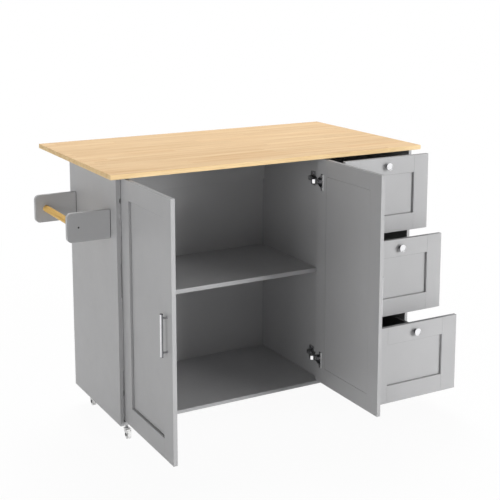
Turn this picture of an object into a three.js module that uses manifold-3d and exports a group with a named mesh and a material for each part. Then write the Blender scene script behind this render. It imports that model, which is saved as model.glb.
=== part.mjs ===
// Kitchen island unit on casters: a door cupboard and a bay of three drawers
// under one wooden worktop, with a towel rack on the left side.
// Millimetres. X runs left to right, Y from the front to the back, Z up.
// The carcass is laid out from its own corner: x = 0 at the outer face of the left
// side, y = 0 at the front edges of the panels, z = 0 on the floor. The last lines
// move the whole unit so that the middle of its footprint is the origin.

import * as THREE from 'three';
import { mergeVertices } from 'three/addons/utils/BufferGeometryUtils.js';
import Module from 'manifold-3d';

const wasm = await Module();
wasm.setup();

// ---- driving dimensions ----

const worktopHeight = 914;
const casterHeight = 66;
const carcassDepth = 426;
const panelThickness = 12;
const doorBayWidth = 765;
const drawerBayWidth = 361;
const backPanelThickness = 4;
const backRailHeight = 150;

const shelfHeight = 422;
const shelfThickness = 15;
const shelfSetback = 34;

const worktopThickness = 16;
const overhangLeft = 35;
const overhangRight = 7;
const overhangFront = 45;
const overhangBack = 228;

const fitClearance = 0.3;
const frontThickness = 14;
const frontGap = 2;
const frontTopGap = 3;
const drawerGap = 2.5;
const doorMemberWidth = 65;
const drawerMemberWidth = 62;
const frontRecess = 8;
const rebateWidth = 6;

const doorOpening = 90;
const hingePivotInset = 5.5;
const hingePivotDepth = 2;
const hingeFromDoorEnd = 84;

const cupFromDoorEdge = 22.5;
const cupBoreRadius = 17.5;
const cupBoreDepth = 11.5;
const cupWall = 1.4;
const cupFlangeRadius = 18.5;
const cupFlangeThickness = 1.2;
const cupWingHeight = 60;
const cupWingWidth = 15;
const cupWingOffset = 10;
const cheekThickness = 1.5;
const cheekRise = 4.5;
const cheekOverhang = 1.3;
const cheekRunOut = 3.5;
const cheekClearance = 0.5;

const armWidth = 14;
const armLength = 78;
const armRise = 12;
const armNoseInner = 20;
const armNoseOuter = 34;
const armNoseStart = 9.5;
const armCrankStart = 24;
const armCrankEnd = 37;
const armPlateHeight = 50;
const armPlateLength = 28;
const armPlateThickness = 2;

const handleLength = 134;
const handlePostSpacing = 106;
const handleRadius = 4;
const handlePostRadius = 3.2;
const handleProjection = 19;
const handleHeight = 481.5;

const knobRadius = 13.5;
const knobNeckRadius = 6;
const knobHeadThickness = 12;
const knobProjection = 22;
const knobRounding = 3;

const topDrawerOpening = 116;
const middleDrawerOpening = 201;
const bottomDrawerOpening = 296;
const drawerBoxHeight = 130;
const drawerBoxLift = 38;
const drawerBoxLength = 390;
const drawerBoxWall = 12;
const drawerBottomThickness = 4;
const drawerBottomLift = 4;
const drawerBottomRebate = 6;

const slideSpace = 12.5;
const slideSheet = 1.2;
const slideStart = 16;
const slideBackClearance = 10;
const slideLift = 4;
const channelHeight = 30;
const channelLip = 10.5;
const runnerHeight = 35;
const runnerLift = 3;
const runnerFlangeLift = 26;
const runnerFlangeInset = 2;
const rollerRadius = 10;
const rollerWidth = 6;
const rollerInset = 3;
const rollerAxleRadius = 3;
const rollerFromEnd = 14;
const rollerClearance = 0.5;

const bracketReach = 147;
const bracketHeight = 95;
const bracketBottom = 690;
const bracketThickness = 15;
const bracketInset = 47;
const bracketCorner = 16;
const dowelRadius = 12.5;
const dowelFromBracketEnd = 38;
const dowelBoreDepth = 8;

const casterSideInset = 42;
const casterEdgeInset = 53;
const casterTrail = 13;
const stemRadius = 4;
const stemBoreDepth = 9;
const wheelRadius = 15;
const wheelWidth = 11;
const hubRadius = 6;
const hubProud = 0.5;
const forkPlate = 1.5;
const forkClearance = 1;
const forkCrownThickness = 3;
const forkEyeRadius = 9;
const forkCrownBehindStem = 3;

// Side counts of the round forms, and how far a cut runs past the face it opens.
const rodSides = 24;
const thinRodSides = 16;
const handleSides = 20;
const knobSides = 28;
const cupSides = 40;
const dowelSides = 32;
const wheelSides = 32;
const bracketCornerSteps = 8;
const forkEyeSteps = 12;
const cutOverrun = 1;
const axleRunIn = 1;

// ---- values that follow ----

const partitionLeft = panelThickness + doorBayWidth;
const partitionRight = partitionLeft + panelThickness;
const rightSideInner = partitionRight + drawerBayWidth;
const carcassWidth = rightSideInner + panelThickness;
const sideBottom = casterHeight;
const bottomTop = sideBottom + panelThickness;
const sideTop = worktopHeight - worktopThickness;
const backPanelFront = carcassDepth - backPanelThickness;
const frontBottom = bottomTop + frontGap;
const frontTop = sideTop - frontTopGap;
const frontPanelThickness = frontThickness - frontRecess - 2 * fitClearance;
const doorWidth = (doorBayWidth - 3 * frontGap) / 2;
const doorBack = frontThickness - hingePivotDepth;
const drawerFrontHeight = (frontTop - frontBottom - 2 * drawerGap) / 3;
const cupRadius = cupBoreRadius - fitClearance;
const cupCentre = cupFromDoorEdge - hingePivotInset;
const slideEnd = backPanelFront - slideBackClearance;

// The wheel stands on one of its flats, so its middle is a flat's distance up.
const axleHeight = wheelRadius * Math.cos(Math.PI / wheelSides);

// ---- finishes ----

const paint = { color: 0xb6b6b4, roughness: 0.55, metalness: 0 };
const worktopWood = { color: 0xe4c294, roughness: 0.5, metalness: 0 };
const dowelWood = { color: 0xd7a552, roughness: 0.45, metalness: 0 };
const drawerBoard = { color: 0xa2a2a0, roughness: 0.6, metalness: 0 };
const chrome = { color: 0xd6d6d6, roughness: 0.15, metalness: 1 };
const nickel = { color: 0xc4c6c8, roughness: 0.3, metalness: 1 };
const coatedSteel = { color: 0xdedede, roughness: 0.4, metalness: 0.2 };
const nylon = { color: 0xe9e9e6, roughness: 0.4, metalness: 0 };

// ---- geometry helpers ----

const island = new THREE.Group();

function place(parent, name, geometry, finish) {
  const mesh = new THREE.Mesh(geometry, new THREE.MeshStandardMaterial(finish));
  mesh.name = name;
  parent.add(mesh);
}

function block([x0, x1], [y0, y1], [z0, z1]) {
  const box = new THREE.BoxGeometry(x1 - x0, y1 - y0, z1 - z0);
  return box.translate((x0 + x1) / 2, (y0 + y1) / 2, (z0 + z1) / 2);
}

// A round bar that starts at a point and runs along 'x', 'y' or 'z'.
function rod(axis, radius, length, [x, y, z], sides = rodSides) {
  const bar = new THREE.CylinderGeometry(radius, radius, length, sides);
  bar.translate(0, length / 2, 0);
  if (axis === 'x') bar.rotateZ(-Math.PI / 2);
  if (axis === 'z') bar.rotateX(Math.PI / 2);
  return bar.translate(x, y, z);
}

function toManifold(geometry) {
  const bare = geometry.clone();
  bare.deleteAttribute('normal');
  bare.deleteAttribute('uv');
  const welded = mergeVertices(bare, 1e-4);
  const vertProperties = Float32Array.from(welded.attributes.position.array);
  const triVerts = Uint32Array.from(welded.index.array);
  return new wasm.Manifold(new wasm.Mesh({ numProp: 3, vertProperties, triVerts }));
}

function combine(base, added, removed) {
  let body = toManifold(base);
  for (const piece of added) body = body.add(toManifold(piece));
  for (const piece of removed) body = body.subtract(toManifold(piece));
  const { vertProperties, triVerts } = body.getMesh();
  const geometry = new THREE.BufferGeometry();
  geometry.setAttribute('position', new THREE.BufferAttribute(Float32Array.from(vertProperties), 3));
  geometry.setIndex(new THREE.BufferAttribute(Uint32Array.from(triVerts), 1));
  geometry.computeVertexNormals();
  return geometry;
}

// A span measured from a wall: direction is 1 when the wall is on the left.
function fromWall(direction, near, far) {
  return direction > 0 ? [near, far] : [-far, -near];
}

// ---- carcass ----

function addCarcass() {
  const depth = [0, carcassDepth];
  const innerDepth = [0, backPanelFront];
  const height = [sideBottom, sideTop];
  const doorBay = [panelThickness, partitionLeft];
  const betweenSides = [panelThickness, rightSideInner];
  place(island, 'left_side_panel', block([0, panelThickness], depth, height), paint);
  place(island, 'right_side_panel', block([rightSideInner, carcassWidth], depth, height), paint);
  place(island, 'partition_panel',
    block([partitionLeft, partitionRight], innerDepth, [bottomTop, sideTop]), paint);
  place(island, 'back_panel', block(betweenSides, [backPanelFront, carcassDepth], height), paint);
  place(island, 'back_top_rail',
    block(doorBay, [backPanelFront - panelThickness, backPanelFront],
      [sideTop - backRailHeight, sideTop]), paint);

  const stemBores = casterPlaces().map(({ x, y }) => {
    return rod('z', stemRadius + fitClearance, stemBoreDepth + cutOverrun,
      [x, y, sideBottom - cutOverrun]);
  });
  const bottom = block(betweenSides, innerDepth, [sideBottom, bottomTop]);
  place(island, 'bottom_panel', combine(bottom, [], stemBores), paint);

  const shelfTop = sideBottom + shelfHeight;
  place(island, 'shelf',
    block(doorBay, [shelfSetback, backPanelFront], [shelfTop - shelfThickness, shelfTop]), paint);
  place(island, 'countertop',
    block([-overhangLeft, carcassWidth + overhangRight],
      [-overhangFront, carcassDepth + overhangBack], [sideTop, worktopHeight]),
    worktopWood);
}

// ---- framed fronts, shared by doors and drawers ----

// The window shows the panel; the wider rebate behind it holds the panel's edges.
function frontFrame([x0, x1], y, [z0, z1], member, bores) {
  const lip = member - rebateWidth;
  const back = y + frontThickness;
  const behind = back + cutOverrun;
  const window = block([x0 + member, x1 - member], [y - cutOverrun, behind],
    [z0 + member, z1 - member]);
  const rebate = block([x0 + lip, x1 - lip], [y + frontRecess, behind], [z0 + lip, z1 - lip]);
  return combine(block([x0, x1], [y, back], [z0, z1]), [], [window, rebate, ...bores]);
}

function frontPanel([x0, x1], y, [z0, z1], member) {
  const edge = member - rebateWidth + fitClearance;
  const face = y + frontRecess + fitClearance;
  return block([x0 + edge, x1 - edge], [face, face + frontPanelThickness], [z0 + edge, z1 - edge]);
}

// ---- doors ----

// A door is drawn closed about its hinge axis, and its group is turned to the
// opening it stands at.
function addDoor(side, wall, direction) {
  const door = new THREE.Group();
  door.position.set(wall + direction * (frontGap + hingePivotInset), hingePivotDepth, 0);
  door.rotation.z = -direction * THREE.MathUtils.degToRad(doorOpening);
  island.add(door);

  const width = fromWall(direction, -hingePivotInset, doorWidth - hingePivotInset);
  const height = [frontBottom, frontTop];
  const hinges = [
    { level: 'upper', z: frontTop - hingeFromDoorEnd },
    { level: 'lower', z: frontBottom + hingeFromDoorEnd },
  ];
  const boreStart = doorBack - cupBoreDepth;
  const bores = hinges.map(({ z }) => {
    return rod('y', cupBoreRadius, cupBoreDepth + cutOverrun,
      [direction * cupCentre, boreStart, z], cupSides);
  });
  place(door, `${side}_door_frame`,
    frontFrame(width, -hingePivotDepth, height, doorMemberWidth, bores), paint);
  place(door, `${side}_door_panel`,
    frontPanel(width, -hingePivotDepth, height, doorMemberWidth), paint);
  const handleX = direction * (doorWidth - hingePivotInset - doorMemberWidth / 2);
  place(door, `${side}_door_handle`, barHandle(handleX), chrome);
  for (const { level, z } of hinges) {
    place(door, `${side}_${level}_hinge_cup`, hingeCup(direction, z), nickel);
    place(island, `${side}_${level}_hinge_arm`, hingeArm(wall, direction, z), nickel);
  }
}

function barHandle(x) {
  const face = -hingePivotDepth - fitClearance;
  const barY = -hingePivotDepth - handleProjection;
  const bar = rod('z', handleRadius, handleLength, [x, barY, handleHeight - handleLength / 2],
    handleSides);
  const posts = [-1, 1].map((end) => {
    const z = handleHeight + end * handlePostSpacing / 2;
    return rod('y', handlePostRadius, face - barY, [x, barY, z], thinRodSides);
  });
  return combine(bar, posts, []);
}

// The cup fills its bore and its flange lies on the back of the door. Two cheeks
// reach from the cup past the door's edge, one above and one below the arm.
function hingeCup(direction, z) {
  const x = direction * cupCentre;
  const bottom = doorBack - cupBoreDepth + fitClearance;
  const floor = bottom + cupWall;
  const seat = doorBack + fitClearance;
  const rim = seat + cupFlangeThickness;
  const cup = rod('y', cupRadius, rim - bottom, [x, bottom, z], cupSides);
  const flange = rod('y', cupFlangeRadius, cupFlangeThickness, [x, seat, z], cupSides);
  const wingCentre = cupCentre + cupWingOffset;
  const wings = block(
    fromWall(direction, wingCentre - cupWingWidth / 2, wingCentre + cupWingWidth / 2),
    [seat, rim], [z - cupWingHeight / 2, z + cupWingHeight / 2]);
  const cavity = rod('y', cupRadius - cupWall, rim + cutOverrun - floor, [x, floor, z], cupSides);

  const cheeks = [];
  for (const end of [-1, 1]) {
    const near = z + end * (armWidth / 2 + cheekClearance);
    const far = near + end * cheekThickness;
    const levels = [Math.min(near, far), Math.max(near, far)];
    const outer = fromWall(direction, -hingePivotInset - cheekOverhang, cupCentre);
    const root = fromWall(direction, cupCentre - cupRadius + cheekRunOut, cupCentre);
    cheeks.push(block(outer, [seat, rim + cheekRise], levels));
    cheeks.push(block(root, [floor - cupWall / 2, rim + cheekRise], levels));
  }
  const shell = combine(cup, [flange, wings], [cavity]);
  return combine(shell, cheeks, []);
}

// The arm is fixed to the cabinet by a cross plate. It is cranked so that its nose
// dips into the cup when the door shuts.
function hingeArm(wall, direction, z) {
  const run = armNoseInner - armRise;
  const outline = new THREE.Shape();
  outline.moveTo(0, armLength);
  outline.lineTo(0, armCrankEnd);
  outline.lineTo(armRise, armCrankEnd - run / 2);
  outline.lineTo(armNoseInner, armCrankStart);
  outline.lineTo(armNoseInner, armNoseStart);
  outline.lineTo(armNoseOuter, armNoseStart);
  outline.lineTo(armNoseOuter, armCrankStart);
  outline.lineTo(armRise, armCrankEnd + run);
  outline.lineTo(armRise, armLength);
  const arm = new THREE.ExtrudeGeometry(outline, { depth: armWidth, bevelEnabled: false });
  arm.translate(0, 0, z - armWidth / 2);
  const plateEnd = armLength - armPlateThickness;
  const plate = block([0, armPlateThickness], [plateEnd - armPlateLength, plateEnd],
    [z - armPlateHeight / 2, z + armPlateHeight / 2]);
  const bracket = combine(arm, [plate], []);
  // The right-hand arm is the left-hand one turned over about the Y axis.
  if (direction < 0) bracket.translate(0, 0, -z).rotateY(Math.PI).translate(0, 0, z);
  return bracket.translate(wall, 0, 0);
}

// ---- drawers ----

function addDrawer(level, opening, bottom) {
  const drawer = new THREE.Group();
  drawer.position.y = -opening;
  island.add(drawer);

  const width = [partitionRight + frontGap, rightSideInner - frontGap];
  const height = [bottom, bottom + drawerFrontHeight];
  place(drawer, `${level}_drawer_front_frame`,
    frontFrame(width, 0, height, drawerMemberWidth, []), paint);
  place(drawer, `${level}_drawer_front_panel`,
    frontPanel(width, 0, height, drawerMemberWidth), paint);
  place(drawer, `${level}_drawer_knob`,
    knob((width[0] + width[1]) / 2, height[1] - drawerMemberWidth / 2), chrome);

  const boxBottom = bottom + drawerBoxLift;
  addDrawerBox(drawer, level, boxBottom);

  const slideBottom = boxBottom + slideLift;
  for (const [side, wall, direction] of [['left', partitionRight, 1], ['right', rightSideInner, -1]]) {
    place(island, `${level}_drawer_${side}_cabinet_rail`,
      cabinetRail(wall, direction, slideBottom), coatedSteel);
    place(drawer, `${level}_drawer_${side}_drawer_rail`,
      drawerRail(wall, direction, slideBottom), coatedSteel);
  }
}

function addDrawerBox(drawer, level, z0) {
  const x = [partitionRight + slideSpace, rightSideInner - slideSpace];
  const y = [frontThickness, frontThickness + drawerBoxLength];
  const inset = ([low, high], amount) => [low + amount, high - amount];
  const rebate = drawerBoxWall - drawerBottomRebate;
  const bottomTopZ = z0 + drawerBottomLift + drawerBottomThickness;
  const under = z0 - cutOverrun;
  const inside = block(inset(x, drawerBoxWall), inset(y, drawerBoxWall),
    [under, z0 + drawerBoxHeight + cutOverrun]);
  const seat = block(inset(x, rebate), inset(y, rebate), [under, bottomTopZ]);
  place(drawer, `${level}_drawer_box`,
    combine(block(x, y, [z0, z0 + drawerBoxHeight]), [], [inside, seat]), drawerBoard);
  place(drawer, `${level}_drawer_bottom`,
    block(inset(x, rebate), inset(y, rebate), [z0 + drawerBottomLift, bottomTopZ]), drawerBoard);
}

// The knob is turned about Y, from its foot on the rail to its face.
function knob(x, z) {
  const headStart = knobProjection - knobHeadThickness;
  const profile = [
    [0, 0],
    [knobNeckRadius, 0],
    [knobNeckRadius, headStart],
    [knobRadius - knobRounding, headStart],
    [knobRadius, headStart + knobRounding],
    [knobRadius, knobProjection - knobRounding],
    [knobRadius - knobRounding, knobProjection],
    [0, knobProjection],
  ].map(([radius, out]) => new THREE.Vector2(radius, out));
  return new THREE.LatheGeometry(profile, knobSides).rotateX(Math.PI).translate(x, 0, z);
}

// A channel on the cabinet wall, open towards the drawer, with a roller at its front.
function cabinetRail(wall, direction, z0) {
  const length = [slideStart, slideEnd];
  const top = z0 + channelHeight;
  const lip = fromWall(direction, 0, channelLip);
  const web = block(fromWall(direction, 0, slideSheet), length, [z0, top]);
  const lower = block(lip, length, [z0, z0 + slideSheet]);
  const upper = block(lip, length, [top - slideSheet, top]);
  const y = slideStart + rollerFromEnd;
  const z = z0 + runnerFlangeLift - rollerClearance - rollerRadius;
  const roller = rollerAt(direction, y, z);
  const axle = axleAt(direction, 0, rollerInset, y, z);
  return combine(web, [lower, upper, roller, axle], []).translate(wall, 0, 0);
}

// An angle on the drawer's side. Its flange rides on the fixed roller, and the roller
// at its back end runs inside the channel.
function drawerRail(wall, direction, z0) {
  const end = frontThickness + drawerBoxLength;
  const length = [slideStart, end];
  const web = block(fromWall(direction, slideSpace - slideSheet, slideSpace), length,
    [z0 + runnerLift, z0 + runnerLift + runnerHeight]);
  const flangeZ = z0 + runnerFlangeLift;
  const flange = block(fromWall(direction, runnerFlangeInset, slideSpace), length,
    [flangeZ, flangeZ + slideSheet]);
  const y = end - rollerFromEnd;
  const z = z0 + slideSheet + fitClearance + rollerRadius;
  const roller = rollerAt(direction, y, z);
  const axle = axleAt(direction, rollerInset + rollerWidth, slideSpace, y, z);
  return combine(web, [flange, roller, axle], []).translate(wall, 0, 0);
}

function rollerAt(direction, y, z) {
  const start = fromWall(direction, rollerInset, rollerInset + rollerWidth)[0];
  return rod('x', rollerRadius, rollerWidth, [start, y, z]);
}

// The axle runs a little way into the pieces at both its ends.
function axleAt(direction, near, far, y, z) {
  const from = near > 0 ? near - axleRunIn : near;
  const to = near > 0 ? far : far + axleRunIn;
  const start = fromWall(direction, from, to)[0];
  return rod('x', rollerAxleRadius, to - from, [start, y, z], thinRodSides);
}

// ---- towel rack ----

function addTowelRack() {
  const x = dowelFromBracketEnd - bracketReach;
  const z = bracketBottom + bracketHeight / 2;
  const frontInner = bracketInset + bracketThickness;
  const rearInner = carcassDepth - bracketInset - bracketThickness;
  const sink = dowelBoreDepth - fitClearance;
  const boreRadius = dowelRadius + fitClearance;
  const boreLength = dowelBoreDepth + cutOverrun;
  const frontBore = rod('y', boreRadius, boreLength, [x, frontInner - dowelBoreDepth, z], dowelSides);
  const rearBore = rod('y', boreRadius, boreLength, [x, rearInner - cutOverrun, z], dowelSides);
  place(island, 'towel_rack_front_bracket', combine(bracketPlate(bracketInset), [], [frontBore]), paint);
  place(island, 'towel_rack_rear_bracket', combine(bracketPlate(rearInner), [], [rearBore]), paint);
  place(island, 'towel_rack_dowel',
    rod('y', dowelRadius, rearInner - frontInner + 2 * sink, [x, frontInner - sink, z], dowelSides),
    dowelWood);
}

// A plate standing out from the left side, with its two outer corners rounded.
function bracketPlate(y) {
  const low = bracketCorner;
  const high = bracketHeight - bracketCorner;
  const turn = bracketCorner - bracketReach;
  const outline = new THREE.Shape();
  outline.moveTo(0, 0);
  outline.lineTo(0, bracketHeight);
  outline.lineTo(turn, bracketHeight);
  outline.absarc(turn, high, bracketCorner, Math.PI / 2, Math.PI, false);
  outline.lineTo(-bracketReach, low);
  outline.absarc(turn, low, bracketCorner, Math.PI, 1.5 * Math.PI, false);
  const plate = new THREE.ExtrudeGeometry(outline, {
    depth: bracketThickness, bevelEnabled: false, curveSegments: bracketCornerSteps,
  });
  return plate.rotateX(Math.PI / 2).translate(0, y + bracketThickness, bracketBottom);
}

// ---- casters ----

function casterPlaces() {
  const places = [];
  for (const [end, y] of [['front', casterEdgeInset], ['rear', carcassDepth - casterEdgeInset]]) {
    places.push({ name: `caster_${end}_left`, x: casterSideInset, y });
    places.push({ name: `caster_${end}_right`, x: carcassWidth - casterSideInset, y });
  }
  return places;
}

function addCaster({ name, x, y }) {
  place(island, `${name}_fork`, casterFork().translate(x, y, 0), nylon);
  place(island, `${name}_wheel`, casterWheel().translate(x, y, 0), nylon);
}

function casterFork() {
  const legInner = wheelWidth / 2 + forkClearance;
  const legOuter = legInner + forkPlate;
  const crownBottom = 2 * wheelRadius + forkClearance;
  const crownTop = crownBottom + forkCrownThickness;
  const crownFront = -casterTrail - forkEyeRadius;
  const crownBack = stemRadius + forkCrownBehindStem;
  const crown = block([-legOuter, legOuter], [crownFront, crownBack], [crownBottom, crownTop]);
  const stemTop = sideBottom + stemBoreDepth - fitClearance;
  const stem = rod('z', stemRadius, stemTop - crownBottom, [0, 0, crownBottom]);
  const eyeHalf = legOuter + cutOverrun;
  const eye = rod('x', hubRadius + fitClearance, 2 * eyeHalf, [-eyeHalf, -casterTrail, axleHeight]);
  const legs = [-legOuter, legInner].map((x) => forkLeg(x, crownFront, crownBack, crownTop));
  return combine(crown, [stem, ...legs], [eye]);
}

// A leg slopes from the crown to a round eye about the axle. Its outline is drawn in
// Y and Z, so the turn takes the drawn X to Y, the drawn Y to Z and the depth to X.
function forkLeg(x, crownFront, crownBack, crownTop) {
  const outline = new THREE.Shape();
  outline.moveTo(crownBack, crownTop);
  outline.lineTo(crownFront, crownTop);
  outline.lineTo(crownFront, axleHeight);
  outline.absarc(-casterTrail, axleHeight, forkEyeRadius, Math.PI, 2 * Math.PI, false);
  const leg = new THREE.ExtrudeGeometry(outline, {
    depth: forkPlate, bevelEnabled: false, curveSegments: forkEyeSteps,
  });
  const turn = new THREE.Matrix4().makeBasis(
    new THREE.Vector3(0, 1, 0), new THREE.Vector3(0, 0, 1), new THREE.Vector3(1, 0, 0));
  return leg.applyMatrix4(turn).translate(x, 0, 0);
}

function casterWheel() {
  const hubHalf = wheelWidth / 2 + forkClearance + forkPlate + hubProud;
  const tread = new THREE.CylinderGeometry(wheelRadius, wheelRadius, wheelWidth, wheelSides);
  tread.rotateY(Math.PI / wheelSides).rotateZ(-Math.PI / 2).translate(0, -casterTrail, axleHeight);
  const hub = rod('x', hubRadius, 2 * hubHalf, [-hubHalf, -casterTrail, axleHeight]);
  return combine(tread, [hub], []);
}

// ---- assembly ----

addCarcass();
addDoor('left', panelThickness, 1);
addDoor('right', partitionLeft, -1);
const drawerPitch = drawerFrontHeight + drawerGap;
addDrawer('bottom', bottomDrawerOpening, frontBottom);
addDrawer('middle', middleDrawerOpening, frontBottom + drawerPitch);
addDrawer('top', topDrawerOpening, frontBottom + 2 * drawerPitch);
addTowelRack();
casterPlaces().forEach(addCaster);

// The footprint runs from the towel rack to the countertop's right end, and from the
// free edges of the open doors to the countertop's back edge.
const openDoorFront = hingePivotDepth + hingePivotInset - doorWidth;
const middleX = (carcassWidth + overhangRight - bracketReach) / 2;
const middleY = (openDoorFront + carcassDepth + overhangBack) / 2;
island.position.set(-middleX, -middleY, 0);

export default island;
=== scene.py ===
"""Kitchen island unit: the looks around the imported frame.

Places are written in millimetres from the carcass's own corner, as the frame's
source has them, and at() turns them into metres in the row frame.
"""

import math

import bmesh
import bpy
from mathutils import Matrix, Vector


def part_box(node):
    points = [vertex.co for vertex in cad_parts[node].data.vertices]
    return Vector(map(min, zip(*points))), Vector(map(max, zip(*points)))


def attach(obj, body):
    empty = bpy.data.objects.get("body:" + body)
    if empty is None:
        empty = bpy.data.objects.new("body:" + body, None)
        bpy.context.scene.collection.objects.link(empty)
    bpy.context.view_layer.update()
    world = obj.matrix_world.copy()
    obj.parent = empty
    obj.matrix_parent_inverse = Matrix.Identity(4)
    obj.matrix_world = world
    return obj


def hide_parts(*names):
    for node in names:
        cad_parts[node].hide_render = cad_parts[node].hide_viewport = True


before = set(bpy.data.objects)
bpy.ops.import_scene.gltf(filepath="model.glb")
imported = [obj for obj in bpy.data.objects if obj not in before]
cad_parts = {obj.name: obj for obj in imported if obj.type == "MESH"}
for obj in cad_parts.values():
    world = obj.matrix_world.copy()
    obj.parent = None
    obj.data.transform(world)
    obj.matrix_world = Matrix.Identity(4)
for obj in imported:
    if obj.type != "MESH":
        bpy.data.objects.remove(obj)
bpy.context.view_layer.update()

# The numbers of the axes.
X, Y, Z = 0, 1, 2

# ---- sizes shared with the frame, in millimetres ----

# The origin of the row frame.
ROW_X = 511.0
ROW_Y = 141.0
FRONT_THICKNESS = 14.0
# The widths of the stiles and rails.
DOOR_MEMBER = 65.0
DRAWER_MEMBER = 62.0
BOX_WALL = 12.0
CLEARANCE = 0.3
BACK_FACE = 426.0

# Each side's wall behind the hinges, the inner face of its open door, and the way
# from the wall into the cupboard along x.
DOOR_SIDES = (("left", 12.0, 31.5, 1), ("right", 777.0, 757.5, -1))
HINGE_HEIGHTS = {"upper": 811.0, "lower": 164.0}
# The bores for the hinge cups, and their middle along y in the open door.
CUP_RADIUS = 17.5
CUP_DEPTH = 11.5
CUP_Y = -15.0
# The outer front corner of a hinge arm's nose: from the wall, and along y.
NOSE_REACH = 34.0
NOSE_FRONT = 9.5

# The middle of a bar handle, and how far it stands off the door.
HANDLE_Y = -339.5
HANDLE_HEIGHT = 481.5
HANDLE_REACH = 19.0
POST_SPACING = 106.0

# Where each drawer's face stands along y, pulled out as in the photograph.
DRAWER_FACES = {"bottom": -296.0, "middle": -201.0, "top": -116.0}
BRACKET_CORNER = 16.0
CASTER_TOP = 66.0
CASTER_TRAIL = 13.0
AXLE_HEIGHT = 14.93
# Where each caster's stem stands.
CASTERS = {
    "caster_front_left": (42.0, 53.0),
    "caster_front_right": (1120.0, 53.0),
    "caster_rear_left": (42.0, 373.0),
    "caster_rear_right": (1120.0, 373.0),
}

# ---- sizes of the looks alone, in millimetres ----

EDGE_BEVEL = 0.7
FRONT_BEVEL = 0.8
BOX_BEVEL = 0.8
WORKTOP_BEVEL = 1.8
# The shadow gap at the foot of a front's recess, and the seam behind its panel.
GAP_WIDTH = 1.8
GROOVE_DEPTH = 2.4
SEAM_WIDTH = 0.5
SEAM_BEVEL = 0.4
CUT_OVERRUN = 1.0
BORE_SEGMENTS = 48

BAR_RADIUS = 4.8
BAR_HALF_LENGTH = 65.6
DOWEL_RADIUS = 11.2
DOWEL_CHAMFER = 0.6
BRACKET_GAP = 1.8
BRACKET_BEVEL = 1.3
NECK_LENGTH = 6.0
NECK_INSET = 2.5
NECK_BEVEL = 0.2
# The bright cap on a hinge arm's nose: its turn in degrees, how far it stands off the
# nose's corner and how far it slides along its own face, away from the shut cup.
NOSE_TURN = 38.0
NOSE_LIFT = 0.55
NOSE_SHIFT = 1.0
NOSE_CAP = (10.0, 1.4, 14.2)
# The folded lip along the edge of a cup's wings: its span along y, its span off the
# door's inner face, and half its height.
LIP_SPAN = (-34.2, -32.6)
LIP_STAND = (0.3, 3.6)
LIP_HALF_HEIGHT = 29.0
LIP_BEVEL = 0.4

# Screw heads: radius and rise.
WING_SCREW = (3.6, 1.1)
PLATE_SCREW = (3.8, 1.2)
ARM_SCREW = (3.4, 0.9)
RACK_SCREW = (3.0, 0.5)
BACK_SCREW = (3.0, 0.7)
# Places of the hinge screws: along y, above and below the hinge's middle, and how far
# the surface under them stands off the door or the wall.
WING_SCREW_Y = -25.0
WING_SCREW_SPREAD = 24.0
WING_SURFACE = 1.5
PLATE_SCREW_Y = 62.0
PLATE_SCREW_SPREAD = 18.0
PLATE_SURFACE = 2.0
ARM_SCREW_ROW = (52.0, 68.0)
ARM_SURFACE = 12.0
# Places of the other screws, and the way along y in which each rack screw looks.
RACK_SCREW_X = -109.0
RACK_SCREW_Z = 737.5
RACK_SCREW_FACES = ((47.0, -1), (379.0, 1))
BACK_SCREW_COLUMNS = (24.0, 400.0, 783.0, 1138.0)
BACK_SCREW_ROWS = (90.0, 340.0, 610.0, 880.0)


def at(x, y, z):
    return Vector(((x - ROW_X) / 1000, (y - ROW_Y) / 1000, z / 1000))


def node_box(node):
    """A CAD node's lowest and highest corners in carcass millimetres."""
    corners = []
    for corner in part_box(node):
        corners.append([corner.x * 1000 + ROW_X, corner.y * 1000 + ROW_Y, corner.z * 1000])
    return corners


# ---- materials: noise scales are per metre, stave sizes are in metres ----

WHITE = (1.0, 1.0, 1.0, 1.0)
PAINT_SPECULAR = 0.28
WOOD_SPECULAR = 0.02
METAL_EDGE = 0.5
STAVE_WIDTH = 0.062
STAVE_LENGTH = 0.62
REFLECTION_BAND_SCALE = 330.0


def rgb(red, green, blue):
    """A colour written in 0 to 255 display values, as the linear colour nodes take."""
    linear = []
    for value in (red, green, blue):
        c = value / 255
        linear.append(c / 12.92 if c <= 0.04045 else ((c + 0.055) / 1.055) ** 2.4)
    return (*linear, 1.0)


def scaled(colour, factor):
    return (*[min(1.0, c * factor) for c in colour[:3]], 1.0)


def grey(level):
    return (level, level, level, 1.0)


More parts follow.
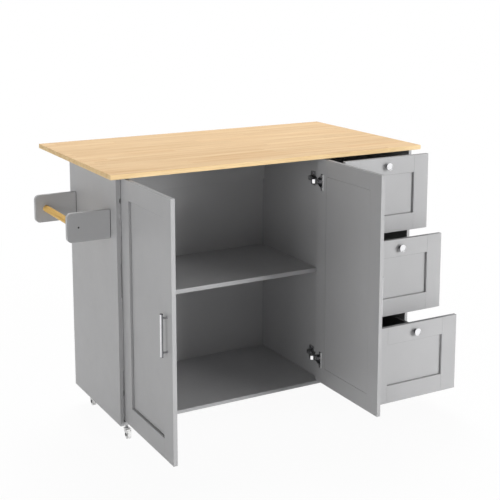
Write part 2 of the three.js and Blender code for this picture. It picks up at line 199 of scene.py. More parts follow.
class Recipe:
    """The node tree of a material or a world, under construction."""

    def __init__(self, owner):
        self.owner = owner
        owner.use_nodes = True
        self.tree = owner.node_tree
        self.tree.nodes.clear()
        self.place = self.add("ShaderNodeTexCoord").outputs["Object"]

    def add(self, kind, feeds=None, **settings):
        node = self.tree.nodes.new(kind)
        for key, value in settings.items():
            setattr(node, key, value)
        for key, value in (feeds or {}).items():
            self.feed(node.inputs[key], value)
        return node

    def feed(self, socket, value):
        if isinstance(value, bpy.types.NodeSocket):
            self.tree.links.new(value, socket)
        else:
            socket.default_value = value

    def stretched(self, scale, source=None):
        node = self.add("ShaderNodeMapping", {"Vector": source or self.place, "Scale": scale})
        return node.outputs["Vector"]

    def noise(self, vector, scale, detail, roughness=0.5, distortion=0.0):
        node = self.add(
            "ShaderNodeTexNoise",
            {
                "Vector": vector,
                "Scale": scale,
                "Detail": detail,
                "Roughness": roughness,
                "Distortion": distortion,
            },
        )
        return node.outputs["Fac"]

    def maths(self, operation, first, second=0.0):
        return self.add("ShaderNodeMath", {0: first, 1: second}, operation=operation).outputs[0]

    def spread(self, value, low, high, out_low, out_high):
        node = self.add(
            "ShaderNodeMapRange",
            {
                "Value": value,
                "From Min": low,
                "From Max": high,
                "To Min": out_low,
                "To Max": out_high,
            },
        )
        return node.outputs["Result"]

    def ramp(self, value, *stops):
        node = self.add("ShaderNodeValToRGB", {"Fac": value})
        elements = node.color_ramp.elements
        while len(elements) < len(stops):
            elements.new(0.5)
        for element, (position, colour) in zip(elements, stops):
            element.position = position
            element.color = colour
        return node.outputs["Color"]

    def multiplied(self, factor, first, second):
        """A colour times another: inputs 6 and 7 and output 2 of the mix node are colours."""
        node = self.add(
            "ShaderNodeMix",
            {0: factor, 6: first, 7: second},
            data_type="RGBA",
            blend_type="MULTIPLY",
        )
        return node.outputs[2]

    def bump(self, height, strength, distance, normal=None):
        feeds = {"Height": height, "Strength": strength, "Distance": distance}
        if normal is not None:
            feeds["Normal"] = normal
        return self.add("ShaderNodeBump", feeds).outputs["Normal"]

    def close(self, surface, kind="ShaderNodeOutputMaterial"):
        out = self.add(kind)
        self.tree.links.new(surface, out.inputs["Surface"])
        return self.owner

    def finish(self, **feeds):
        """Ends in a principled shader, with its sockets named in lower case."""
        shader = self.add("ShaderNodeBsdfPrincipled")
        for key, value in feeds.items():
            socket = key.replace("_", " ").title().replace("Ior", "IOR")
            self.feed(shader.inputs[socket], value)
        return self.close(shader.outputs["BSDF"])


def board_paint(name, colour, roughness):
    """Satin lacquer on board: a faint roller texture and hardly any change of tone."""
    r = Recipe(bpy.data.materials.new(name))
    cloud = r.noise(r.place, 5.0, 3.0)
    speck = r.noise(r.place, 950.0, 2.0)
    tone = r.ramp(cloud, (0.3, scaled(colour, 0.975)), (0.7, scaled(colour, 1.025)))
    fine = r.ramp(speck, (0.35, grey(0.965)), (0.65, WHITE))
    peel = r.noise(r.place, 420.0, 3.0, 0.55)
    normal = r.bump(peel, 0.12, 0.0003)
    gloss = r.spread(r.noise(r.place, 38.0, 4.0), 0.3, 0.7, roughness - 0.04, roughness + 0.05)
    return r.finish(
        base_color=r.multiplied(1.0, tone, fine),
        roughness=gloss,
        normal=normal,
        specular_ior_level=PAINT_SPECULAR,
    )


def stave_numbers(r):
    """Random numbers that are the same all over one stave: rows along x, broken end to end."""
    parts = r.add("ShaderNodeSeparateXYZ", {"Vector": r.place})
    row = r.maths("FLOOR", r.maths("DIVIDE", parts.outputs["Y"], STAVE_WIDTH))
    row_random = r.add("ShaderNodeTexWhiteNoise", {"W": row}, noise_dimensions="1D")
    offset = r.maths("MULTIPLY", row_random.outputs["Value"], 3.0)
    along = r.maths("ADD", parts.outputs["X"], offset)
    length = r.maths("FLOOR", r.maths("DIVIDE", along, STAVE_LENGTH))
    cell = r.add("ShaderNodeCombineXYZ", {"X": length, "Y": row, "Z": 0.0})
    return r.add("ShaderNodeTexWhiteNoise", {"Vector": cell.outputs[0]}, noise_dimensions="3D")


def wood(name, pale, mid, deep, axis, roughness, staves=False):
    """Clear-finished wood with its grain along one axis, laid in staves along x if asked."""
    r = Recipe(bpy.data.materials.new(name))
    across = [38.0, 38.0, 38.0]
    across[axis] = 1.6
    fibres = [620.0, 620.0, 620.0]
    fibres[axis] = 14.0
    source = r.place
    if staves:
        stave = stave_numbers(r)
        jump = r.add(
            "ShaderNodeVectorMath",
            {0: stave.outputs["Color"], 1: (0.6, 0.6, 0.6)},
            operation="MULTIPLY",
        )
        moved = r.add("ShaderNodeVectorMath", {0: r.place, 1: jump.outputs[0]}, operation="ADD")
        source = moved.outputs[0]
    figure = r.noise(r.stretched(across, source), 1.0, 5.0, 0.6, 0.4)
    streak = r.noise(r.stretched([v * 3.4 for v in across], source), 1.0, 4.0, 0.65)
    pore = r.noise(r.stretched(fibres, source), 1.0, 2.0, 0.5)
    colour = r.ramp(figure, (0.28, deep), (0.5, mid), (0.72, pale))
    veins = r.ramp(streak, (0.30, (0.86, 0.82, 0.76, 1.0)), (0.52, WHITE))
    colour = r.multiplied(0.55, colour, veins)
    pores = r.ramp(pore, (0.32, (0.80, 0.74, 0.66, 1.0)), (0.46, WHITE))
    colour = r.multiplied(0.45, colour, pores)
    if staves:
        tone = r.spread(stave.outputs["Value"], 0.0, 1.0, 0.965, 1.02)
        tint = r.add("ShaderNodeCombineXYZ", {"X": tone, "Y": tone, "Z": tone})
        colour = r.multiplied(1.0, colour, tint.outputs[0])
    normal = r.bump(pore, 0.10, 0.0003)
    normal = r.bump(streak, 0.05, 0.0004, normal)
    gloss = r.spread(streak, 0.3, 0.7, roughness + 0.07, roughness - 0.04)
    return r.finish(
        base_color=colour,
        roughness=gloss,
        normal=normal,
        specular_ior_level=WOOD_SPECULAR,
    )


def metal(name, colour, roughness, brushed_axis=None, painted_reflections=False):
    """Bare or plated metal. Painted reflections, if asked, run in light and dark lines along
    the z axis.
    """
    r = Recipe(bpy.data.materials.new(name))
    if brushed_axis is None:
        marks = r.noise(r.place, 260.0, 3.0)
        strength = 0.015
    else:
        stretch = [2200.0, 2200.0, 2200.0]
        stretch[brushed_axis] = 60.0
        marks = r.noise(r.stretched(stretch), 1.0, 3.0, 0.6)
        strength = 0.06
    haze = r.noise(r.place, 60.0, 3.0)
    tone = r.ramp(haze, (0.3, scaled(colour, 0.96)), (0.7, scaled(colour, 1.03)))
    # Painted reflections: light and dark bands in the colour, running along the z axis.
    if painted_reflections:
        lines = r.noise(r.stretched((REFLECTION_BAND_SCALE, REFLECTION_BAND_SCALE, 1.5)), 1.0, 1.0, 0.4)
        dark = r.ramp(lines, (0.44, (0.28, 0.28, 0.29, 1.0)), (0.56, WHITE))
        tone = r.multiplied(1.0, tone, dark)
    gloss = r.spread(marks, 0.3, 0.7, roughness * 0.8, roughness * 1.25)
    normal = r.bump(marks, strength, 0.0002)
    return r.finish(
        base_color=tone,
        metallic=1.0,
        roughness=gloss,
        normal=normal,
        specular_tint=grey(METAL_EDGE),
    )


def coated(name, colour, roughness, grain_scale, strength):
    """Powder coat or moulded plastic: fine grain, an even colour."""
    r = Recipe(bpy.data.materials.new(name))
    grain = r.noise(r.place, grain_scale, 3.0, 0.6)
    cloud = r.noise(r.place, 30.0, 2.0)
    tone = r.ramp(cloud, (0.3, scaled(colour, 0.96)), (0.7, scaled(colour, 1.03)))
    gloss = r.spread(grain, 0.3, 0.7, roughness - 0.05, roughness + 0.06)
    normal = r.bump(grain, strength, 0.0002)
    return r.finish(base_color=tone, roughness=gloss, normal=normal)


PAINT = board_paint("grey_paint", rgb(184, 184, 185), 0.46)
# A lighter copy of the grey paint for the rack's brackets: painted light that lifts them out of
# the open door's shadow.
BRIGHTENED_BRACKET_PAINT = board_paint("bracket_paint_painted_light", rgb(194, 194, 195), 0.46)
# A darker copy of the grey paint: painted shade on the fronts' top faces and under their top
# rails.
SHADED_EDGE_PAINT = board_paint("painted_shade_edge_paint", rgb(146, 146, 147), 0.5)
# The drawer boxes' board: painted shade, made dark to stand in for the shade inside the
# drawers.
PAINTED_SHADE_BOARD = board_paint("drawer_board", rgb(98, 98, 98), 0.6)
UNDERSIDE = board_paint("sealed_underside", rgb(166, 165, 163), 0.6)
WORKTOP = wood(
    "countertop_wood", rgb(247, 218, 178), rgb(240, 207, 164), rgb(227, 188, 142), X, 0.48, True
)
WORKTOP_EDGE = wood(
    "countertop_edge", rgb(250, 224, 180), rgb(245, 215, 166), rgb(235, 198, 145), X, 0.5
)
DOWEL = wood("dowel_wood", rgb(242, 206, 137), rgb(233, 190, 113), rgb(214, 163, 88), Y, 0.42)
CHROME = metal("chrome", rgb(246, 246, 248), 0.1)
# The handle bar's chrome, with painted reflections in bands along it.
PAINTED_REFLECTION_CHROME = metal("bar_chrome_painted_reflections", rgb(250, 250, 252), 0.12, painted_reflections=True)
BRIGHT = metal("bright_nickel", rgb(252, 252, 252), 0.12)
ZINC = coated("bright_zinc", rgb(250, 250, 250), 0.3, 900.0, 0.02)
NICKEL = metal("nickel", rgb(214, 214, 213), 0.24, brushed_axis=Y)
COATED = coated("coated_steel", rgb(222, 222, 222), 0.42, 1400.0, 0.08)
NYLON = coated("nylon", rgb(250, 250, 249), 0.4, 600.0, 0.04)
HINGE_STEEL = metal("hinge_steel", rgb(168, 168, 170), 0.28)
STEM_STEEL = metal("stem_steel", rgb(150, 150, 152), 0.34)
# Dark steel for screws, collars and end caps; on the knobs' feet and necks it is painted shade.
DARK_STEEL_AND_PAINTED_SHADE = metal("dark_steel_and_painted_shade", rgb(62, 62, 65), 0.36)
# Dark plastic for the hub caps; as the screws' crosses and the brackets' necks it is painted
# shade.
DARK_PLASTIC_AND_PAINTED_SHADE = coated("dark_plastic_and_painted_shade", rgb(44, 44, 46), 0.5, 700.0, 0.05)

# ---- piece building ----

SHARP_ANGLE = math.radians(50)


def turned_towards(direction):
    """A turn that takes the z axis to a direction."""
    turn = Vector((0, 0, 1)).rotation_difference(Vector(direction))
    return turn.to_matrix().to_4x4()


def block(low, high):
    """A closed rectangular form between two corners."""
    form = bmesh.new()
    bmesh.ops.create_cube(form, size=1.0)
    a, b = at(*low), at(*high)
    form.transform(Matrix.Translation((a + b) / 2) @ Matrix.Diagonal((*(b - a), 1.0)))
    return form


def drum(radius, start, end):
    """A closed round bar between two points."""
    form = bmesh.new()
    a, b = at(*start), at(*end)
    bmesh.ops.create_cone(
        form,
        cap_ends=True,
        segments=BORE_SEGMENTS,
        radius1=radius / 1000,
        radius2=radius / 1000,
        depth=(b - a).length,
    )
    form.transform(Matrix.Translation((a + b) / 2) @ turned_towards(b - a))
    return form


def round_edges(form, edges, offset, segments):
    bmesh.ops.bevel(
        form,
        geom=edges,
        offset=offset / 1000,
        segments=segments,
        profile=0.5,
        affect="EDGES",
    )


def even_normals(piece):
    """Smooth shading that stays flat over the large faces."""
    piece.data.set_sharp_from_angle(angle=SHARP_ANGLE)
    even = piece.modifiers.new("even_normals", "WEIGHTED_NORMAL")
    even.keep_sharp = True


class Piece:
    """Solid forms gathered into one mesh, each with its own material."""

    def __init__(self):
        self.bm = bmesh.new()
        self.materials = []

    def index(self, material):
        if material not in self.materials:
            self.materials.append(material)
        return self.materials.index(material)

    def take(self, source, material):
        number = self.index(material)
        for face in source.faces:
            face.material_index = number
        mesh = bpy.data.meshes.new("form")
        source.to_mesh(mesh)
        source.free()
        self.bm.from_mesh(mesh)
        bpy.data.meshes.remove(mesh)

    def board(self, low, high, material, bevel, segments=2):
        """A rectangular form between two corners, with its edges rounded over."""
        form = block(low, high)
        round_edges(form, form.edges[:], bevel, segments)
        self.take(form, material)

    def plate(self, centre, turn, size, material, bevel=0.3):
        """A flat form standing on a point, its face turned from the front by some degrees."""
        form = bmesh.new()
        bmesh.ops.create_cube(form, size=1.0)
        form.transform(Matrix.Diagonal((*[side / 1000 for side in size], 1.0)))
        round_edges(form, form.edges[:], bevel, 1)
        form.transform(Matrix.Rotation(math.radians(turn), 4, "Z"))
        form.transform(Matrix.Translation(at(*centre)))
        self.take(form, material)

    def turned(self, profile, start, direction, material, segments):
        """A form turned about a line: profile is radius and distance along it."""
        form = bmesh.new()
        rings = []
        for radius, distance in profile:
            if radius == 0:
                rings.append([form.verts.new((0, 0, distance / 1000))])
                continue
            ring = []
            for k in range(segments):
                turn = 2 * math.pi * k / segments
                x, y = radius / 1000 * math.cos(turn), radius / 1000 * math.sin(turn)
                ring.append(form.verts.new((x, y, distance / 1000)))
            rings.append(ring)
        for low, high in zip(rings, rings[1:]):
            for k in range(segments):
                n = (k + 1) % segments
                if len(low) == 1:
                    form.faces.new((low[0], high[n], high[k]))
                elif len(high) == 1:
                    form.faces.new((low[k], low[n], high[0]))
                else:
                    form.faces.new((low[k], low[n], high[n], high[k]))
        form.transform(Matrix.Translation(at(*start)) @ turned_towards(direction))
        bmesh.ops.recalc_face_normals(form, faces=form.faces[:])
        self.take(form, material)

    def screw(self, centre, direction, head, material):
        """A domed cross-head screw standing on a surface: head is its radius and rise."""
        radius, rise = head
        dome = [(0, -0.4), (radius, -0.4), (radius, rise * 0.25)]
        for k in range(1, 7):
            angle = math.pi / 2 * k / 7
            dome.append((radius * math.cos(angle), rise * (0.25 + 0.75 * math.sin(angle))))
        dome.append((0, rise))
        self.turned(dome, centre, direction, material, 24)
        # The cross is a thin dark mark on the dome, not a cut: painted shade for the recess.
        slot_size = (radius * 1.15 / 1000, radius * 0.26 / 1000, 0.0003, 1.0)
        for spin in (math.pi / 4, 3 * math.pi / 4):
            slot = bmesh.new()
            bmesh.ops.create_cube(slot, size=1.0)
            slot.transform(Matrix.Diagonal(slot_size))
            slot.transform(Matrix.Rotation(spin, 4, "Z"))
            slot.transform(Matrix.Translation((0, 0, (rise - 0.08) / 1000)))
            slot.transform(Matrix.Translation(at(*centre)) @ turned_towards(direction))
            self.take(slot, DARK_PLASTIC_AND_PAINTED_SHADE)

    def finish(self, name, body, slot, replaced=()):
        mesh = bpy.data.meshes.new(name)
        self.bm.to_mesh(mesh)
        self.bm.free()
        for material in self.materials:
            mesh.materials.append(material)
        mesh.polygons.foreach_set("use_smooth", [True] * len(mesh.polygons))
        piece = bpy.data.objects.new(name, mesh)
        bpy.context.scene.collection.objects.link(piece)
        even_normals(piece)
        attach(piece, body)
        if replaced:
            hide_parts(*replaced)
        return piece


def carve(piece, cutters):
    """Cuts closed cutter meshes out of a piece and keeps the result as its mesh."""
    helpers = []
    for number, cutter in enumerate(cutters):
        mesh = bpy.data.meshes.new("cutter")
        cutter.to_mesh(mesh)
        cutter.free()
        helper = bpy.data.objects.new(f"cutter_{number}", mesh)
        bpy.context.scene.collection.objects.link(helper)
        helpers.append(helper)
        cut = piece.modifiers.new(f"cut_{number}", "BOOLEAN")
        cut.object = helper
        cut.operation = "DIFFERENCE"
        cut.solver = "EXACT"
    piece.modifiers.remove(piece.modifiers["even_normals"])
    graph = bpy.context.evaluated_depsgraph_get()
    graph.update()
    result = bpy.data.meshes.new_from_object(piece.evaluated_get(graph))
    piece.modifiers.clear()
    piece.data = result
    for helper in helpers:
        bpy.data.objects.remove(helper)
    even_normals(piece)


# ---- camera: angles in degrees, focal length in pixels of the photograph ----

CAMERA_PLACE = (-1232.8, -3087.4, 1539.6)
CAMERA_YAW = 29.08
CAMERA_PITCH = -9.56
CAMERA_FOCAL_PIXELS = 1068.2
CAMERA_SHIFT_Y = -0.20
PHOTO_PIXELS = 500.0
SENSOR = 36.0


def make_camera():
    data = bpy.data.cameras.new("camera")
    data.sensor_width = SENSOR
    data.sensor_fit = "AUTO"
    data.lens = CAMERA_FOCAL_PIXELS * SENSOR / PHOTO_PIXELS
    data.shift_y = CAMERA_SHIFT_Y
    data.clip_end = 100.0
    camera = bpy.data.objects.new("camera", data)
    bpy.context.scene.collection.objects.link(camera)
    camera.location = at(*CAMERA_PLACE)
    yaw, pitch = math.radians(CAMERA_YAW), math.radians(CAMERA_PITCH)
    forward = Vector(
        (math.sin(yaw) * math.cos(pitch), math.cos(yaw) * math.cos(pitch), math.sin(pitch))
    )
    camera.rotation_mode = "QUATERNION"
    camera.rotation_quaternion = forward.to_track_quat("-Z", "Y")
    bpy.context.scene.camera = camera


# ---- light, floor, background, in metres ----

AMBIENT = 0.15
LAMP_DISTANCE = 14.0
LAMP_TARGET = Vector((0, 0, 0.45))
# Azimuth and elevation in degrees, side, and level: at 1 a surface that faces the lamp
# renders at its own colour.
LAMPS = {
    "key": (34.0, 10.0, 6.0, 0.745),
    "fill": (-67.0, 5.0, 8.0, 0.41),
    "top": (155.0, 56.0, 7.0, 0.84),
}
FLOOR_HALF = 20.0
FLOOR_DROP = 0.0003
FLOOR_ALBEDO = 0.86
# The floor shows a little of the object's shadow, fading out between two distances.
SHADOW_SHARE = 0.05
SHADOW_NEAR = 1.0
SHADOW_FAR = 2.6


def softbox(name, azimuth, elevation, size, level):
    """A square lamp aimed at the unit, seen by no reflection."""
    a, e = math.radians(azimuth), math.radians(elevation)
    away = Vector((math.sin(a) * math.cos(e), -math.cos(a) * math.cos(e), math.sin(e)))
    data = bpy.data.lights.new(name, "AREA")
    data.shape = "SQUARE"
    data.size = size
    data.energy = level * (math.pi * LAMP_DISTANCE) ** 2
    lamp = bpy.data.objects.new(name, data)
    bpy.context.scene.collection.objects.link(lamp)
    lamp.location = LAMP_TARGET + away * LAMP_DISTANCE
    lamp.rotation_mode = "QUATERNION"
    lamp.rotation_quaternion = (-away).to_track_quat("-Z", "Y")
    lamp.visible_glossy = False


def seen_directly(r):
    """1 for rays that show the background: the camera's, reflections and refractions."""
    path = r.add("ShaderNodeLightPath").outputs
    seen = r.maths("MAXIMUM", path["Is Camera Ray"], path["Is Glossy Ray"])
    return r.maths("MAXIMUM", seen, path["Is Transmission Ray"])


def make_world():
    r = Recipe(bpy.data.worlds.new("studio"))
    strength = r.spread(seen_directly(r), 0.0, 1.0, AMBIENT, 1.0)
    shade = r.add("ShaderNodeBackground", {"Color": WHITE, "Strength": strength})
    bpy.context.scene.world = r.close(shade.outputs[0], "ShaderNodeOutputWorld")


def make_floor():
    form = bmesh.new()
    bmesh.ops.create_grid(form, x_segments=1, y_segments=1, size=FLOOR_HALF)
    mesh = bpy.data.meshes.new("floor")
    form.to_mesh(mesh)
    form.free()
    floor = bpy.data.objects.new("floor", mesh)
    floor.location.z = -FLOOR_DROP
    bpy.context.scene.collection.objects.link(floor)
    r = Recipe(bpy.data.materials.new("floor"))
    seen = seen_directly(r)
    pale = r.add("ShaderNodeBsdfDiffuse", {"Color": grey(0.94)}).outputs[0]
    glow = r.add("ShaderNodeEmission", {"Color": WHITE, "Strength": 1.0}).outputs[0]
    distance = r.add("ShaderNodeVectorMath", {0: r.place}, operation="LENGTH").outputs["Value"]
    share = r.spread(distance, SHADOW_NEAR, SHADOW_FAR, 1.0 - SHADOW_SHARE, 1.0)
    shown = r.add("ShaderNodeMixShader", {0: share, 1: pale, 2: glow}).outputs[0]
    plain = r.add("ShaderNodeBsdfDiffuse", {"Color": grey(FLOOR_ALBEDO)}).outputs[0]
    both = r.add("ShaderNodeMixShader", {0: seen, 1: plain, 2: shown}).outputs[0]
    mesh.materials.append(r.close(both))


# ---- carcass ----


def make_carcass():
    """Boards with rounded edges in the places of the rectangular CAD nodes."""
    for node in (
        "left_side_panel",
        "right_side_panel",
        "partition_panel",
        "back_panel",
        "back_top_rail",
        "bottom_panel",
        "shelf",
    ):
        piece = Piece()
        piece.board(*node_box(node), PAINT, EDGE_BEVEL)
        piece.finish(f"{node}_board", "cabinet", "grey_paint", [node])


def make_back_screws():
    screws = Piece()
    for x in BACK_SCREW_COLUMNS:
        for z in BACK_SCREW_ROWS:
            screws.screw((x, BACK_FACE, z), (0, 1, 0), BACK_SCREW, NICKEL)
    screws.finish("back_panel_screws", "cabinet", "nickel")


def make_countertop():
    """One board: staves on its top face, plain grain round its edges, a sealed underside."""
    piece = Piece()
    piece.board(*node_box("countertop"), WORKTOP, WORKTOP_BEVEL, 4)
    edge, underside = piece.index(WORKTOP_EDGE), piece.index(UNDERSIDE)
    piece.bm.normal_update()
    for face in piece.bm.faces:
        if face.normal.z < -0.9:
            face.material_index = underside
        elif face.normal.z < 0.6:
            face.material_index = edge
    piece.finish("countertop_board", "cabinet", "countertop_wood", ["countertop"])


# ---- framed fronts ----


def framed_front(name, body, across, member, bores=()):
    """Two full-height stiles and two rails, with a panel set back in a rebate behind them.

    across is the axis of the front's width, and the other level axis is its thickness.
    """
    node = f"{name}_frame"
    low, high = node_box(node)
    rebate_low, rebate_high = node_box(f"{name}_panel")
    through = 1 - across
    for axis in (across, Z):
        rebate_low[axis] -= CLEARANCE
        rebate_high[axis] += CLEARANCE
    if rebate_low[through] - low[through] < high[through] - rebate_high[through]:
        rebate_low[through] = low[through] - CUT_OVERRUN
    else:
        rebate_high[through] = high[through] + CUT_OVERRUN
    spans = {
        "stile_a": (low[across], low[across] + member, low[Z], high[Z]),
        "stile_b": (high[across] - member, high[across], low[Z], high[Z]),
        "rail_low": (low[across] + member, high[across] - member, low[Z], low[Z] + member),
        "rail_top": (low[across] + member, high[across] - member, high[Z] - member, high[Z]),
    }
    for part, (start, end, bottom, top) in spans.items():
        a, b = list(low), list(high)
        a[across], b[across], a[Z], b[Z] = start, end, bottom, top
        piece = Piece()
        piece.board(a, b, PAINT, FRONT_BEVEL)
        # Painted shade: every top face but the lower rail's, and the top rail's underside, take
        # the darker paint.
        edge = piece.index(SHADED_EDGE_PAINT)
        piece.bm.normal_update()
        for face in piece.bm.faces:
            above = face.normal.z > 0.9 and part != "rail_low"
            below = face.normal.z < -0.2 and part == "rail_top"
            if above or below:
                face.material_index = edge
        replaced = [node] if part == "stile_a" else []
        board = piece.finish(f"{name}_{part}", body, "grey_paint", replaced)
        cutters = [block(rebate_low, rebate_high)]
        if part == "stile_b":
            cutters += [drum(*bore) for bore in bores]
        carve(board, cutters)
    front_panel(name, body, across, member)


def front_panel(name, body, across, member):
    """The panel: a shadow gap along its visible border and a fine seam at the back."""
    node = f"{name}_panel"
    low, high = node_box(node)
    frame_low, frame_high = node_box(f"{name}_frame")
    through = 1 - across
    piece = Piece()
    piece.board(low, high, PAINT, SEAM_BEVEL, 1)
    panel = piece.finish(f"{name}_board", body, "grey_paint", [node])
    # Each face of the panel is a place and a way out. The back one lies less deep.
    depths = (
        (abs(low[through] - frame_low[through]), (low[through], -1.0)),
        (abs(high[through] - frame_high[through]), (high[through], 1.0)),
    )
    back, front = [face for _, face in sorted(depths)]
    visible_low, visible_high = list(frame_low), list(frame_high)
    for axis in (across, Z):
        visible_low[axis] += member
        visible_high[axis] -= member
    cutters = border_cutters(visible_low, visible_high, across, GAP_WIDTH, front)
    cutters += border_cutters(low, high, across, SEAM_WIDTH, back)
    carve(panel, cutters)


def border_cutters(low, high, across, width, face):
    """Four bars that cut a groove just inside a rectangle, in one face of a board."""
    left, right, bottom, top = low[across], high[across], low[Z], high[Z]
    past = CUT_OVERRUN
    surface, outward = face
    spans = (
        (left - past, left + width, bottom - past, top + past),
        (right - width, right + past, bottom - past, top + past),
        (left, right, bottom - past, bottom + width),
        (left, right, top - width, top + past),
    )
    cutters = []
    for start, end, lowest, highest in spans:
        a, b = [0.0] * 3, [0.0] * 3
        a[across], b[across], a[Z], b[Z] = start, end, lowest, highest
        a[1 - across], b[1 - across] = sorted(
            (surface + past * outward, surface - GROOVE_DEPTH * outward)
        )
        cutters.append(block(a, b))
    return cutters


def make_doors():
    # The stile next to the hinges is the one at the back of the open door.
    for side, _, inner, direction in DOOR_SIDES:
        bores = []
        for z in HINGE_HEIGHTS.values():
            foot = (inner - CUP_DEPTH * direction, CUP_Y, z)
            mouth = (inner + 2 * CUT_OVERRUN * direction, CUP_Y, z)
            bores.append((CUP_RADIUS, foot, mouth))
        framed_front(f"{side}_door", f"{side}_door", Y, DOOR_MEMBER, bores)
        make_handle(side, inner - FRONT_THICKNESS * direction, -direction)


def make_handle(side, face, outward):
    """A round bar with dark end caps, on two collared posts."""
    x = face + HANDLE_REACH * outward
    half, rim = BAR_HALF_LENGTH, BAR_RADIUS + 0.1
    tube = [(0, -half), (BAR_RADIUS, -half), (BAR_RADIUS, half), (0, half)]
    cap = [(0, 0), (rim, 0), (rim, 0.9), (rim - 0.3, 1.3), (rim - 0.9, 1.5), (0, 1.5)]
    post = [(0, -0.2), (4.8, -0.2), (4.8, 0.7), (4.3, 1.2), (3.3, 1.8), (3.1, 3.0)]
    post += [(3.1, 17.5), (0, 17.5)]
    bar = Piece()
    bar.turned(tube, (x, HANDLE_Y, HANDLE_HEIGHT), (0, 0, 1), PAINTED_REFLECTION_CHROME, 40)
    for end in (-1, 1):
        place = (x, HANDLE_Y, HANDLE_HEIGHT + half * end)
        bar.turned(cap, place, (0, 0, end), DARK_STEEL_AND_PAINTED_SHADE, 40)
    for end in (-1, 1):
        place = (face, HANDLE_Y, HANDLE_HEIGHT + POST_SPACING / 2 * end)
        bar.turned(post, place, (outward, 0, 0), STEM_STEEL, 32)
    bar.finish(f"{side}_door_bar_handle", f"{side}_door", "chrome", [f"{side}_door_handle"])


# ---- drawers ----


def make_knob(level, x, face, z):
    """A foot and neck painted dark as the shade under a polished head, which has a rounded rim
    and a domed face.
    """
    foot = [(0, -0.1), (8.2, -0.1), (8.4, 0.5), (7.9, 1.2), (6.6, 1.9), (6.0, 3.2)]
    foot += [(5.8, 5.5), (6.2, 8.0), (7.6, 9.6), (10.0, 10.3), (0, 10.3)]
    head = [(0, 10.3), (10.3, 10.4)]
    face_radius, rim_radius, dome = 10.6, 2.9, 5.4
    rim_middle, dome_foot = 13.3, 16.2
    for k in range(1, 9):
        angle = -math.pi / 2 + math.pi * k / 9
        radius = face_radius + rim_radius * math.cos(angle)
        head.append((radius, rim_middle + rim_radius * math.sin(angle)))
    for k in range(10):
        share = k / 10
        rise = dome * math.sin(math.pi / 2 * share)
        head.append((face_radius * (1 - share), dome_foot + rise))
    head.append((0, dome_foot + dome))
    knob = Piece()
    # Painted shade: the foot and neck under the head are dark.
    knob.turned(foot, (x, face, z), (0, -1, 0), DARK_STEEL_AND_PAINTED_SHADE, 40)
    knob.turned(head, (x, face, z), (0, -1, 0), CHROME, 56)
    body = f"{level}_drawer"
    knob.finish(f"{body}_round_knob", body, "chrome", [f"{body}_knob"])


def make_drawer(level, face):
    body = f"{level}_drawer"
    framed_front(f"{body}_front", body, X, DRAWER_MEMBER)
    low, high = node_box(f"{body}_front_frame")
    make_knob(level, (low[X] + high[X]) / 2, face, high[Z] - DRAWER_MEMBER / 2)
    low, high = node_box(f"{body}_box")
    walls = {
        "left": ((low[X], low[Y], low[Z]), (low[X] + BOX_WALL, high[Y], high[Z])),
        "right": ((high[X] - BOX_WALL, low[Y], low[Z]), (high[X], high[Y], high[Z])),
        "front": (
            (low[X] + BOX_WALL, low[Y], low[Z]),
            (high[X] - BOX_WALL, low[Y] + BOX_WALL, high[Z]),
        ),
        "back": (
            (low[X] + BOX_WALL, high[Y] - BOX_WALL, low[Z]),
            (high[X] - BOX_WALL, high[Y], high[Z]),
        ),
    }
    # The box walls take the dark board, which paints the shade inside the drawer.
    for part, (a, b) in walls.items():
        wall = Piece()
        wall.board(a, b, PAINTED_SHADE_BOARD, BOX_BEVEL)
        replaced = [f"{body}_box"] if part == "left" else []
        wall.finish(f"{body}_box_{part}", body, "drawer_board", replaced)


# ---- towel rack ----


def make_bracket(node):
    """A plate with its outer corners rounded, in a lighter copy of the paint as painted light,
    held off the side by a narrower neck painted dark as the shade in the gap.
    """
    low, high = node_box(node)
    # The neck is painted dark: painted shade in the gap between the plate and the side.
    neck = Piece()
    neck.board(
        (high[X] - NECK_LENGTH, low[Y] + NECK_INSET, low[Z] + NECK_INSET),
        (high[X], high[Y] - NECK_INSET, high[Z] - NECK_INSET),
        DARK_PLASTIC_AND_PAINTED_SHADE,
        NECK_BEVEL,
    )
    neck.finish(f"{node}_neck", "cabinet", "grey_paint")
    high[X] -= BRACKET_GAP
    outline = [(high[X], low[Z]), (high[X], high[Z])]
    corner, steps = BRACKET_CORNER, 12
    for middle_z, first in ((high[Z] - corner, 90.0), (low[Z] + corner, 180.0)):
        for k in range(steps + 1):
            angle = math.radians(first + 90.0 * k / steps)
            x = low[X] + corner + corner * math.cos(angle)
            outline.append((x, middle_z + corner * math.sin(angle)))
    form = bmesh.new()
    front = [form.verts.new(at(x, low[Y], z)) for x, z in outline]
    rear = [form.verts.new(at(x, high[Y], z)) for x, z in outline]
    form.faces.new(front)
    form.faces.new(list(reversed(rear)))
    for k in range(len(outline)):
        n = (k + 1) % len(outline)
        form.faces.new((front[k], rear[k], rear[n], front[n]))
    bmesh.ops.recalc_face_normals(form, faces=form.faces[:])
    rims = [e for e in form.edges if e.calc_face_angle() > math.radians(60)]
    round_edges(form, rims, BRACKET_BEVEL, 2)
    piece = Piece()
    # The plate takes the lighter copy of the paint: painted light.
    piece.take(form, BRIGHTENED_BRACKET_PAINT)
    piece.finish(f"{node}_plate", "cabinet", "grey_paint", [node])


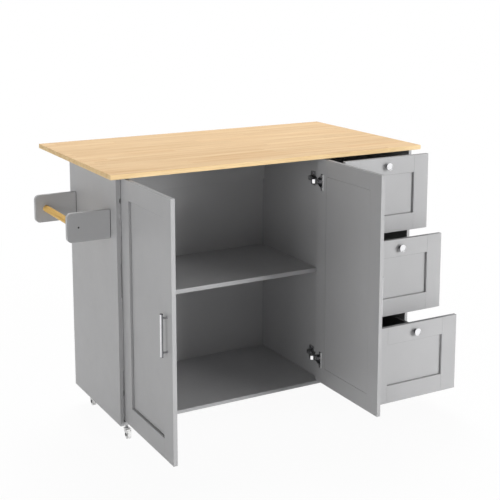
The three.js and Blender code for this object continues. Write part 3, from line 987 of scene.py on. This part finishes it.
def make_towel_rack():
    make_bracket("towel_rack_front_bracket")
    make_bracket("towel_rack_rear_bracket")
    low, high = node_box("towel_rack_dowel")
    radius, ease, length = DOWEL_RADIUS, DOWEL_CHAMFER, high[Y] - low[Y]
    profile = [(0, 0), (radius - ease, 0), (radius, ease), (radius, length - ease)]
    profile += [(radius - ease, length), (0, length)]
    start = ((low[X] + high[X]) / 2, low[Y], (low[Z] + high[Z]) / 2)
    dowel = Piece()
    dowel.turned(profile, start, (0, 1, 0), DOWEL, 64)
    dowel.finish("towel_rack_round_dowel", "cabinet", "dowel_wood", ["towel_rack_dowel"])
    screws = Piece()
    for y, direction in RACK_SCREW_FACES:
        place = (RACK_SCREW_X, y, RACK_SCREW_Z)
        screws.screw(place, (0, direction, 0), RACK_SCREW, DARK_STEEL_AND_PAINTED_SHADE)
    screws.finish("towel_rack_screws", "cabinet", "nickel")


# ---- hinges ----


def make_cup_trim(side, level, z, inner, direction):
    """Two screws in the cup's wings, and the folded lip along its flange."""
    trim = Piece()
    for end in (-1, 1):
        seat = (inner + WING_SURFACE * direction, WING_SCREW_Y, z + WING_SCREW_SPREAD * end)
        trim.screw(seat, (direction, 0, 0), WING_SCREW, CHROME)
    start, end = sorted(inner + stand * direction for stand in LIP_STAND)
    low = (start, LIP_SPAN[0], z - LIP_HALF_HEIGHT)
    high = (end, LIP_SPAN[1], z + LIP_HALF_HEIGHT)
    trim.board(low, high, ZINC, LIP_BEVEL)
    trim.finish(f"{side}_{level}_hinge_cup_trim", f"{side}_door", "nickel")


def make_arm_trim(side, level, z, wall, direction):
    """Screws through the arm's plate and along its back, and the bright cap on its nose."""
    trim = Piece()
    for end in (-1, 1):
        seat = (wall + PLATE_SURFACE * direction, PLATE_SCREW_Y, z + PLATE_SCREW_SPREAD * end)
        trim.screw(seat, (direction, 0, 0), PLATE_SCREW, CHROME)
    for y in ARM_SCREW_ROW:
        seat = (wall + ARM_SURFACE * direction, y, z)
        trim.screw(seat, (direction, 0, 0), ARM_SCREW, CHROME)
    # The right-hand cap looks towards the front left, and the left-hand one mirrors it.
    sine, cosine = math.sin(math.radians(NOSE_TURN)), math.cos(math.radians(NOSE_TURN))
    reach = NOSE_REACH + NOSE_LIFT * sine - NOSE_SHIFT * cosine
    centre = (wall + reach * direction, NOSE_FRONT - NOSE_LIFT * cosine - NOSE_SHIFT * sine, z)
    trim.plate(centre, NOSE_TURN * direction, NOSE_CAP, BRIGHT)
    trim.finish(f"{side}_{level}_hinge_arm_trim", "cabinet", "nickel")


def make_hinge_details():
    for side, wall, inner, direction in DOOR_SIDES:
        for level, z in HINGE_HEIGHTS.items():
            make_cup_trim(side, level, z, inner, direction)
            make_arm_trim(side, level, z, wall, direction)


# ---- casters ----


def make_caster_details():
    """A collar under the cabinet, a sleeve round the stem up to it, and hub caps."""
    collar = [(0, 0), (9.0, 0), (9.0, 1.2), (8.4, 1.6), (0, 1.6)]
    sleeve = [(0, 0), (4.9, 0), (4.9, 1.6), (4.3, 2.2), (4.3, 28.4)]
    sleeve += [(5.0, 29.0), (5.0, 29.8), (0, 29.8)]
    cap = [(0, 0), (6.2, 0), (6.2, 0.5), (5.4, 1.1), (2.2, 1.4), (0, 1.4)]
    sleeve_foot, hub_half = 34.0, 8.4
    for name, (x, y) in CASTERS.items():
        socket = Piece()
        socket.turned(collar, (x, y, CASTER_TOP), (0, 0, -1), DARK_STEEL_AND_PAINTED_SHADE, 36)
        socket.finish(f"{name}_socket", "cabinet", "coated_steel")
        stem = Piece()
        stem.turned(sleeve, (x, y, sleeve_foot), (0, 0, 1), STEM_STEEL, 36)
        stem.finish(f"{name}_stem_sleeve", f"{name}_swivel_body", "coated_steel")
        hub = Piece()
        for end in (-1, 1):
            place = (x + hub_half * end, y - CASTER_TRAIL, AXLE_HEIGHT)
            hub.turned(cap, place, (end, 0, 0), DARK_PLASTIC_AND_PAINTED_SHADE, 32)
        hub.finish(f"{name}_hub_caps", f"{name}_wheel_body", "nylon")


# ---- finishes for the CAD nodes that stay ----


def finish_nodes():
    by_ending = {
        "drawer_bottom": PAINTED_SHADE_BOARD,
        "hinge_cup": HINGE_STEEL,
        "hinge_arm": HINGE_STEEL,
        "cabinet_rail": COATED,
        "drawer_rail": COATED,
        "fork": NYLON,
        "wheel": NYLON,
    }
    for name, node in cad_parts.items():
        for ending, material in by_ending.items():
            if name.endswith(ending):
                node.data.materials.clear()
                node.data.materials.append(material)


make_camera()
make_world()
for lamp_name, lamp_settings in LAMPS.items():
    softbox(lamp_name, *lamp_settings)
make_floor()
bpy.context.scene.view_settings.view_transform = "Standard"

make_carcass()
make_back_screws()
make_countertop()
make_doors()
for drawer_level, drawer_face in DRAWER_FACES.items():
    make_drawer(drawer_level, drawer_face)
make_towel_rack()
make_hinge_details()
make_caster_details()
finish_nodes()
